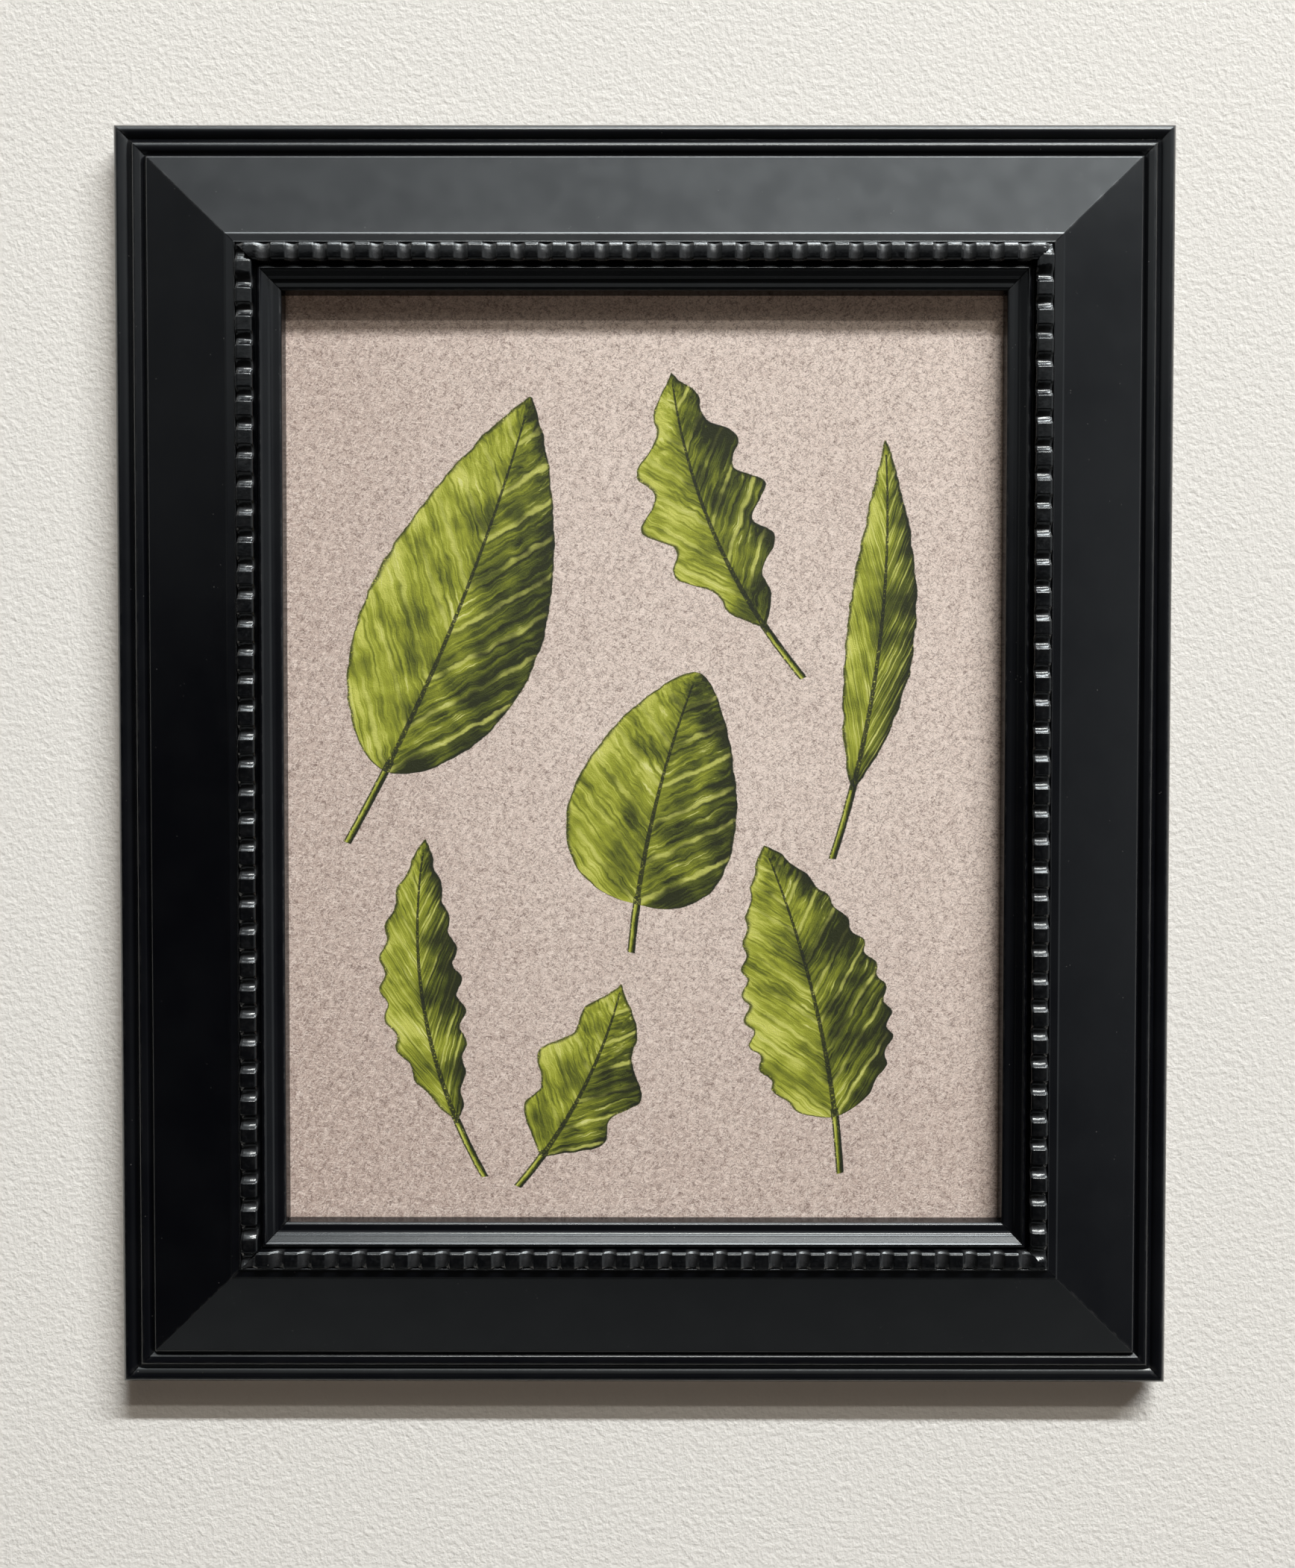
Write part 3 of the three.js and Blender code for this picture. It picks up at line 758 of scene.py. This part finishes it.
def painted_leaf():
    """One leaf laid flat, its stalk behind it. Its half width over its length t is
    width * sin(pi t^fullness)^roundness * (1 - lobing * (0.5 + 0.5 cos(2 pi lobes t))),
    about a middle line bent by a parabola. depth says how far in from the outline a point is, in
    millimetres, and the wobble makes the outline a hand's. Veins leave the midrib at a slant."""
    given, give = group("painted leaf",
                        {"Place": "v", "Centre": "v", "Angle": "f", "Wobble": "f", "Pen": "f",
                         **dict.fromkeys(LEAF_SHAPE, "f")},
                        {"Leaf": "f", "Lines": "f", "Veins": "f", "Along": "f", "Across": "f"})
    length, width, fullness, roundness, bend, lobes, lobing, veins = [
        given[key] for key in LEAF_SHAPE]
    away = on_vector("SUBTRACT", given["Place"], given["Centre"])
    own_x, own_y, _ = apart(turn(away, given["Angle"] * -1.0))
    t = own_x / length + 0.5
    off = t - 0.45
    y = own_y - off * off * bend * length
    inside_t = calc("MAXIMUM", calc("MINIMUM", t, 1.0), 0.0)
    swell = calc("SINE", calc("POWER", inside_t, fullness) * pi)
    swell = calc("POWER", calc("MAXIMUM", swell, 0.0), roundness)
    wave = calc("COSINE", lobes * inside_t * (2 * pi)) * 0.5 + 0.5
    half = swell * (1 - wave * lobing) * width
    y_size = calc("ABSOLUTE", y)
    depth = half - y_size + given["Wobble"]
    blade = remap(depth, 0.0, 0.5) * calc("GREATER_THAN", t, 0.002) * calc("LESS_THAN", t, 0.998)
    stalk = calc("GREATER_THAN", t, -STALK_LENGTH) * calc("LESS_THAN", t, 0.03)
    stalk_share = y_size / (given["Wobble"] * 0.12 + STALK_HALF)
    leaf = calc("MAXIMUM", blade, stalk * remap(stalk_share, 1.15, 0.95))
    # outline, midrib and the stalk's two edges
    rim = (1 - remap(depth, 0.5, given["Pen"])) * blade
    rib_width = (1 - inside_t) * 0.75 + 0.35
    on_midrib = calc("GREATER_THAN", t, 0.0) * calc("LESS_THAN", t, 0.95)
    rib = (1 - remap(y_size / rib_width, 0.7, 1.15)) * on_midrib
    edge = remap(stalk_share, 0.5, 0.8) * remap(stalk_share, 1.3, 1.1) * stalk
    # veins
    lean = y_size / width * 1.3
    phase = (t - lean * 0.22) * veins + given["Wobble"] * 0.13
    gap = calc("PINGPONG", phase, 0.5)
    return give(Leaf=leaf, Lines=calc("MAXIMUM", rim, calc("MAXIMUM", rib, edge)),
                Veins=(1 - remap(gap, 0.03, 0.1)) * blade, Along=phase * leaf,
                Across=y / calc("MAXIMUM", half, 0.5) * leaf)


SKIN, WEAR, GRAIN, LEAF = sprayed_skin(), worn_edge(), timber_grain(), painted_leaf()

# ---- Finishes ----


def lacquered_moulding():
    """Satin black lacquer on the face, bare timber on the back with the spray's ragged edge."""
    made, tree, place = material("black lacquer")
    coat = use(SKIN, place, Peel_size=1.1, Roughness=0.2, Spread=0.015)
    wear = use(WEAR, place, Ridge=mask(tree, "ridge"), Amount=0.55)["Wear"]
    tone = remap(noise(place, 22.0, 3.0), 0.3, 0.7)
    black = blend(tone, (0.0018, 0.0020, 0.0032, 1), (0.0032, 0.0035, 0.0047, 1))
    black = blend(wear * 0.6, black, (0.06, 0.06, 0.06, 1))
    black = blend(coat["Dust"] * 0.12, black, (0.5, 0.5, 0.48, 1))
    along = wire(tree, "ShaderNodeUVMap", uv_map="UVMap")
    timber = use(GRAIN, stretch(along, UV_STEP, UV_STEP, 1), Pale=srgb(214, 184, 138),
                 Dark=srgb(176, 138, 92))
    unsprayed = mask(tree, "bare")
    ragged = unsprayed + (noise(place, 3.0, 4.0, 0.7) - 0.5) * 0.9
    bare = remap(ragged, 0.62, 0.95) * unsprayed
    height = coat["Height"] * (1 - bare) + timber["Height"] * bare * 4.0
    principled(tree, Base_Color=blend(bare, black, timber["Color"]),
               Roughness=wear * 0.12 + coat["Roughness"] + bare * 0.36, IOR=1.5,
               Normal=bump(height, 0.008))
    return made


def glossy_ribbing():
    """Gloss black on the ribbed strips, hand cast, so the surface is gently uneven, with a painted
    sheen in the grooves: a paler grey that stands for the light they catch."""
    made, tree, place = material("black gloss")
    coat = use(SKIN, place, Peel_size=1.3, Roughness=0.15, Spread=0.05)
    wear = use(WEAR, place, Ridge=mask(tree, "ridge"), Amount=0.35)["Wear"]
    patch = remap(noise(place, 1.6, 3.0, 0.6), 0.5, 0.75)
    groove_sheen = mask(tree, "groove_sheen")
    black = blend(patch, (0.0018, 0.0020, 0.0026, 1), (0.0055, 0.0060, 0.0072, 1))
    black = blend(wear * 0.3, black, (0.05, 0.05, 0.05, 1))
    black = blend(coat["Dust"] * 0.1, black, (0.4, 0.4, 0.38, 1))
    # Painted sheen: the grooves turn a paler grey that stands for the light they catch.
    black = blend(groove_sheen * 0.4, black, (0.085, 0.088, 0.092, 1))
    principled(tree, Base_Color=black, Roughness=patch * 0.1 + coat["Roughness"] + groove_sheen * 0.14,
               IOR=1.52, Normal=bump(coat["Height"], 0.06))
    return made


FIBRES = [  # angle, patch size, strength, tone: dark and pale ones cross each other
    (0.5, 2.6, 0.42, srgb(98, 77, 69)),
    (1.3, 3.1, 0.38, srgb(98, 77, 69)),
    (2.5, 2.2, 0.42, srgb(98, 77, 69)),
    (0.1, 2.4, 0.40, srgb(250, 238, 229)),
    (2.1, 2.8, 0.36, srgb(250, 238, 229)),
]


def fibrous_paper(flat):
    """Colour and height of toned paper: clouded, with painted shade that darkens it towards the
    foot and the left, mottled, with short fibres that are noise drawn out along each angle and kept
    in patches."""
    cloud = remap(noise(flat, 30.0, 4.0, 0.6), 0.3, 0.7)
    paper = blend(cloud, srgb(223, 209, 200), srgb(231, 218, 209))
    x, z, _ = apart(flat)
    # Painted shade: the paper darkens towards the foot and the left, where less light falls on it.
    painted_shade = srgb(176, 156, 146)
    paper = blend(remap(z, 20, -230, 0.0, 0.62), paper, painted_shade)
    paper = blend(remap(x, 0, -150, 0.0, 0.57), paper, painted_shade)
    mottle = noise(stretch(flat, 0.7, 1.0, 1.0), 0.95, 2.0, 0.6, 2.0)
    paper = blend(remap(mottle, 0.48, 0.64) * 0.48, paper, srgb(166, 145, 134))
    paper = blend(remap(mottle, 0.46, 0.34) * 0.32, paper, srgb(243, 229, 219))
    height = mottle
    for number, (angle, size, strength, tone) in enumerate(FIBRES):
        turned_flat = turn(flat, angle)
        drift = on_vector("ADD", stretch(turned_flat, 0.24, 1.0, 1.0), (17.0 * number, 9.0, 0.0))
        strand = noise(drift, 0.5, 0.0, 0.5, 1.2)
        patches = remap(noise(turned_flat, size, 0.0), 0.36, 0.5)
        fibre = remap(strand, 0.57, 0.63) * patches
        paper = blend(fibre * strength, paper, tone)
        height = height + fibre * 0.3
    return paper, height


LEAVES = [  # centre x and z, angle, then length, half width and the rest of the leaf's shape
    (-66, 64, 68, 150, 34, 0.72, 0.8, 0.10, 0.0, 0.0, 8),
    (22, 94, 112, 104, 25, 1.0, 1.0, -0.25, 5.0, 0.34, 7),
    (89, 54, 84, 132, 13, 0.85, 0.9, 0.16, 0.0, 0.0, 13),
    (6, -10, 76, 90, 32, 0.62, 0.62, -0.12, 0.0, 0.0, 6),
    (-84, -84, 98, 108, 16, 0.95, 0.8, -0.3, 9.0, 0.16, 11),
    (-20, -118, 64, 72, 22, 0.8, 0.9, 0.2, 3.0, 0.30, 6),
    (62, -82, 104, 106, 28, 0.68, 0.75, 0.14, 11.0, 0.09, 9),
]
GREENS = [  # where on the brush's scale, and the paint
    (0.24, (36, 40, 16)), (0.38, (74, 82, 26)), (0.52, (116, 124, 36)), (0.66, (152, 160, 50)),
    (0.84, (198, 202, 98)),
]


def toned_paper():
    """Mauve-grey toned paper full of short fibres, with seven leaves of one kind of paint on it:
    dark outlines, an olive shadow half, a lime half, and pale strokes beside the veins."""
    made, tree, place = material("toned paper")
    x, _, z = apart(place)
    flat = flat_place(x, z + HOOK_Z)
    paper, height = fibrous_paper(flat)
    wobble = (noise(flat, 7.0, 3.0) - 0.5) * 2.6
    pen = remap(noise(flat, 11.0), 0.3, 0.7, 1.0, 2.6)
    leaves = []
    for centre_x, centre_z, angle, *shape in LEAVES:
        named = dict(zip(LEAF_SHAPE, map(float, shape)))
        leaves.append(use(LEAF, flat, Centre=(centre_x, centre_z, 0.0), Angle=radians(angle),
                          Wobble=wobble, Pen=pen, **named))
    leaf, lines, veins = [joined("MAXIMUM", leaves, key) for key in ("Leaf", "Lines", "Veins")]
    along, across = [joined("ADD", leaves, key) for key in ("Along", "Across")]
    brush = noise(flat_place(along * 6.0, across * 1.6), 1.0, 4.0, 0.62, 0.9)
    blotch = noise(flat, 16.0)
    scale = (blotch - 0.5) * 0.9 + (across * 0.24 + brush)
    ramp = node(tree, "ShaderNodeValToRGB", {0: scale})
    while len(ramp.color_ramp.elements) < len(GREENS):
        ramp.color_ramp.elements.new(0.5)
    for element, (at, colour) in zip(ramp.color_ramp.elements, GREENS):
        element.position, element.color = at, srgb(*colour)
    light = remap(blotch, 0.40, 0.60, 0.05, 0.8)
    paint = blend(veins * light, Wire(tree, ramp.outputs[0]), srgb(196, 200, 104))
    dabs = remap(brush, 0.60, 0.66) * remap(blotch, 0.50, 0.62)
    paint = blend(dabs * 0.75, paint, srgb(218, 220, 146))
    dry = remap(noise(flat, 0.8), 0.3, 0.45)
    colour = blend(lines * (dry * 0.9), blend(leaf, paper, paint), srgb(26, 29, 20))
    principled(tree, Base_Color=colour, Roughness=0.93 - leaf * 0.22, Specular_IOR_Level=0.25,
               Normal=bump(height + brush * leaf * 0.8, 0.05))
    return made


def grey_board():
    """Pale grey board: mottled pulp with a layered core at its cut edges."""
    made, tree, place = material("grey board")
    pulp = noise(place, 1.2, 4.0, 0.65)
    plies = noise(stretch(place, 0.02, 1.0, 0.02), 0.35, 1.0)
    colour = blend(remap(pulp, 0.35, 0.7), srgb(226, 221, 208), srgb(196, 190, 176))
    colour = blend(remap(plies, 0.5, 0.6) * 0.25, colour, srgb(160, 152, 138))
    principled(tree, Base_Color=colour, Roughness=0.9, Normal=bump(pulp, 0.05))
    return made


def hardboard():
    """Brown hardboard: pressed fibres with the screen's fine waffle, and faint damp patches."""
    made, tree, place = material("hardboard")
    fibres = noise(place, 0.9, 5.0, 0.7, 0.4)
    clouds = noise(place, 40.0, 3.0)
    x, _, z = apart(place)
    mesh_step = 1.5
    wave_x, wave_z = [calc("SINE", value * (2 * pi / mesh_step)) for value in (x, z)]
    waffle = wave_x * wave_z * 0.5 + 0.5
    colour = blend(remap(fibres, 0.3, 0.7), srgb(132, 92, 58), srgb(96, 63, 38))
    colour = blend(remap(clouds, 0.45, 0.65) * 0.35, colour, srgb(84, 56, 36))
    colour = blend(waffle * 0.22, colour, srgb(58, 36, 22))
    principled(tree, Base_Color=colour, Roughness=0.7,
               Normal=bump(fibres * 0.5 - waffle * 0.7, 0.12))
    return made


def metal(name, pale, dark, roughness, tarnish, size):
    """Rolled metal: fine drawn lines, blotches of a duller colour, and a varying roughness."""
    made, tree, place = material(name)
    lines = noise(stretch(place, 0.08, 1.0, 1.0), 0.25)
    dull = remap(noise(place, size, 5.0, 0.65), 0.42, 0.68)
    principled(tree, Base_Color=blend(dull * tarnish, pale, dark), Metallic=1.0,
               Roughness=dull * 0.25 + roughness, Normal=bump(lines, 0.01))
    return made


def felt_cloth():
    """Dark felt: a mat of short crossed hairs with a soft sheen."""
    made, tree, place = material("dark felt")
    hairs = noise(place, 0.35, 4.0, 0.7, 2.2)
    colour = blend(remap(hairs, 0.35, 0.68), srgb(34, 30, 28), srgb(74, 67, 61))
    principled(tree, Base_Color=colour, Roughness=0.95, Sheen_Weight=0.4, Sheen_Roughness=0.5,
               Normal=bump(hairs, 0.15))
    return made


# ---- The pieces ----

lacquer, gloss = lacquered_moulding(), glossy_ribbing()
steel = metal("spring steel", (0.56, 0.57, 0.58, 1), (0.30, 0.29, 0.27, 1), 0.32, 0.7, 2.5)
brass = metal("brass plate", (0.78, 0.58, 0.27, 1), (0.42, 0.28, 0.12, 1), 0.26, 0.6, 3.5)
felt = felt_cloth()

for side in SIDES:
    finish_piece(rail(side), lacquer, "black_lacquer", f"rail_{side}")
    finish_piece(ribbed_strip(side), gloss, "black_gloss", f"ribbed_strip_{side}")

SHEETS = [  # piece, its solid, width, height, thickness, front, easing, grid, sway, finish, slot
    ("leaf_sheet", "toned_sheet", 279.4, 355.6, 0.5, 14.7, 0.08, (70, 90), 0.07,
     toned_paper(), "toned_paper"),
    ("backing_mount", "mount_board", 279.4, 355.6, 3.0, 13.9, 0.15, (12, 14), 0.0,
     grey_board(), "grey_board"),
    ("hardboard_back", "backing_board", 281.0, 359.0, 2.5, 10.6, 0.25, (40, 50), 0.12,
     hardboard(), "hardboard"),
]
for name, solid, width, height, thick, front, ease, cells, sway, finish, slot in SHEETS:
    made = slab(name, width, height, front - sway, thick, ease, cells, sway, seed=5)
    finish_piece(made, finish, slot, solid)

for side, count in POINTS_ON_SIDE.items():
    opening = 2 * (SIDES[side][0] - REBATE_WALL)
    for i in range(count):
        made = glazing_point(side, opening * ((i + 0.5) / count - 0.5), i + 1)
        finish_piece(made, steel, "spring_steel", f"point_{side}_{i + 1}")

for z_name, sz in (("top", 1), ("bottom", -1)):
    for x_name, sx in (("left", -1), ("right", 1)):
        for i, u in enumerate(WEDGES_AT):
            tail = f"{z_name}_{x_name}_{i + 1}"
            made = corner_wedge(f"mitre_wedge_{tail}", sx, sz, u)
            finish_piece(made, steel, "spring_steel", f"corner_wedge_{tail}")

finish_piece(hanger_plate(), brass, "brass", "hanger_plate")
for side, sx in (("left", -1), ("right", 1)):
    finish_piece(hanger_nail(side, sx * NAIL_X), brass, "brass", f"hanger_nail_{side}")
    finish_piece(felt_bumper(side, sx * BUMPER_X, BUMPER_Z), felt, "felt", f"bumper_{side}")

# ---- Stage, light and camera ----


def painted_wall():
    """Pale wall paint with a roller's soft stipple. It shows only its front, and casts nothing."""
    made, tree, place = material("wall paint")
    shader, out = principled(tree, Base_Color=(0.790, 0.789, 0.758, 1), Roughness=0.8,
                             Specular_IOR_Level=0.15,
                             Normal=bump(noise(place, 2.4, 4.0, 0.62), 0.5))
    back = wire(tree, "ShaderNodeNewGeometry", output="Backfacing")
    shadow = wire(tree, "ShaderNodeLightPath", output="Is Shadow Ray")
    clear = wire(tree, "ShaderNodeBsdfTransparent")
    share = calc("MAXIMUM", back, shadow)
    mixed = wire(tree, "ShaderNodeMixShader", {0: share, 1: shader, 2: clear})
    put(tree, out.inputs["Surface"], mixed)
    return made


def pale_floor():
    """Floor paint in two near tones of pale grey."""
    made, tree, place = material("floor paint")
    colour = blend(noise(place, 120.0, 3.0), (0.30, 0.295, 0.28, 1), (0.34, 0.335, 0.32, 1))
    principled(tree, Base_Color=colour, Roughness=0.6)
    return made


def stage_sheet(name, corners, finish):
    """One flat sheet of the backdrop, through four corners in millimetres."""
    mesh = bpy.data.meshes.new(name)
    mesh.from_pydata([tuple(c) for c in np.array(corners) * MM], [], [(0, 1, 2, 3)])
    made = bpy.data.objects.new(name, mesh)
    made.data.materials.append(finish)
    bpy.context.scene.collection.objects.link(made)
    return made


WALL_Y, WALL_HALF, WALL_TOP = 2.7, 2500, 1600  # the wall touches the felt pads
FLOOR_Z, FLOOR_HALF = -1400.0, 4000
wall_corners = [(-WALL_HALF, WALL_Y, FLOOR_Z), (WALL_HALF, WALL_Y, FLOOR_Z),
                (WALL_HALF, WALL_Y, WALL_TOP), (-WALL_HALF, WALL_Y, WALL_TOP)]
floor_corners = [(-FLOOR_HALF, -FLOOR_HALF, FLOOR_Z), (FLOOR_HALF, -FLOOR_HALF, FLOOR_Z),
                 (FLOOR_HALF, FLOOR_HALF, FLOOR_Z), (-FLOOR_HALF, FLOOR_HALF, FLOOR_Z)]
stage_sheet("wall", wall_corners, painted_wall())
floor = stage_sheet("floor", floor_corners, pale_floor())
floor.visible_diffuse = floor.visible_glossy = False

CENTRE = np.array([0.0, 0.0, -HOOK_Z * MM])


def lamp(name, direction, distance, size, power, colour=(1, 1, 1), lights=True, mirrored=False):
    """A long lamp, direction and distance from the frame's centre, its length along X and its face
    turned to the picture's height. Some only light the matt surfaces, some only show in gloss."""
    data = bpy.data.lights.new(name, "AREA")
    data.shape, data.size, data.size_y, data.energy = "RECTANGLE", *size, power
    data.color = colour
    made = bpy.data.objects.new(name, data)
    towards = np.array(direction) / np.linalg.norm(direction)
    z = np.array([0.0, towards[1], towards[2]])
    z /= np.linalg.norm(z)
    matrix = np.eye(4)
    matrix[:3, :3] = np.stack([[1.0, 0.0, 0.0], np.cross(z, [1.0, 0.0, 0.0]), z], 1)
    matrix[:3, 3] = CENTRE + towards * distance
    made.matrix_world = Matrix(matrix.tolist())
    made.visible_diffuse, made.visible_glossy = lights, mirrored
    bpy.context.scene.collection.objects.link(made)


# The high and the low lamp cast the frame's two shadow edges; the next two fill them softly.
lamp("lamp_high", (1.0, -1, 1.92), 10.0, (8.0, 0.28), 1860)
lamp("lamp_low", (0.5, -1, 1.42), 10.0, (3.2, 0.35), 255, (1, 0.94, 0.86))
lamp("lamp_front", (0.1, -1, -0.4), 3.0, (3.0, 2.4), 11, (1, 0.82, 0.68))
lamp("lamp_above", (0.3, -1, 1.5), 3.0, (3.0, 1.8), 7, (1, 0.84, 0.62))
lamp("lamp_behind", (-0.6, 1, 0.9), 3.0, (1.6, 1.6), 80, mirrored=True)
lamp("tube_low", (0.4, -1, 1.08), 5.0, (4.4, 0.34), 200, (1, 1, 0.95), lights=False, mirrored=True)


def room():
    """Soft room light for the gloss, worked out from the direction alone. lift is the angle in
    degrees over the level line in front. A ceiling and a window high in front grow brighter to
    the right, a narrow line of lamps hangs nearly overhead, and all three fade at the far right.
    The right side, a strip of floor, the front and the space behind the wall glow dimly.
    What the camera itself sees past the stage is a plain pale grey."""
    world = bpy.data.worlds.new("room")
    bpy.context.scene.world = world
    world.use_nodes = True
    tree = world.node_tree
    tree.nodes.clear()
    x, y, z = apart(wire(tree, "ShaderNodeTexCoord", output="Generated"))
    lift = calc("DEGREES", calc("ARCTAN2", z, y * -1.0))
    ceiling = remap(lift, 42, 56) * remap(x, -0.4, 0.35, 0.12, 0.9) * remap(lift, 84, 94, 1.0, 0.06)
    window = remap(lift, 36, 48) * remap(lift, 61, 51) * remap(x, -0.7, 0.2, 0.1, 7.0)
    off_line = (lift - 79.0) / 3.6
    line = calc("EXPONENT", off_line * off_line * -1.0) * remap(x, -0.6, 0.3, 1.0, 32.0)
    right = remap(x, 0.1, 0.4, 0.0, 0.06) + remap(x, 0.81, 0.93, 0.0, 0.44)
    floor_strip = remap(lift, -76, -69, 0.0, 0.32) * remap(lift, -59, -64)
    front = remap(lift, 5, 22, 0.03, 0.5) * remap(calc("ABSOLUTE", x), 0.5, 0.84, 1.0, 0.3)
    behind = remap(y, 0.15, 0.6, 0.0, 0.5) * remap(z, -0.5, 0.9, 0.4, 1.8)
    glow = (ceiling + window + line) * remap(x, 0.88, 0.62) + right + floor_strip + front + behind
    light = wire(tree, "ShaderNodeCombineColor", {0: glow * 0.93, 1: glow, 2: glow * 1.02})
    seen = wire(tree, "ShaderNodeLightPath", output="Is Camera Ray")
    colour = blend(seen, light, (0.78, 0.78, 0.76, 1))
    shader = wire(tree, "ShaderNodeBackground", {"Color": colour, "Strength": 1.0})
    node(tree, "ShaderNodeOutputWorld", {"Surface": shader})
    world.cycles_visibility.diffuse = False


room()
bpy.context.scene.view_settings.view_transform = "Standard"

CAMERA_PLACE = (0.00189, -0.52024, -0.20609)
LOOKS_DOWN, TURNED, ROLLED = 1.341, 0.036, 0.070  # degrees

camera = bpy.data.objects.new("camera", bpy.data.cameras.new("camera"))
camera.data.sensor_width, camera.data.lens = 36.0, 31.04
camera.data.clip_start, camera.data.clip_end = 0.01, 20.0
camera.location = CAMERA_PLACE
camera.rotation_mode = "ZYX"
camera.rotation_euler = (radians(90 - LOOKS_DOWN), radians(ROLLED), radians(TURNED))
bpy.context.scene.collection.objects.link(camera)
bpy.context.scene.camera = camera
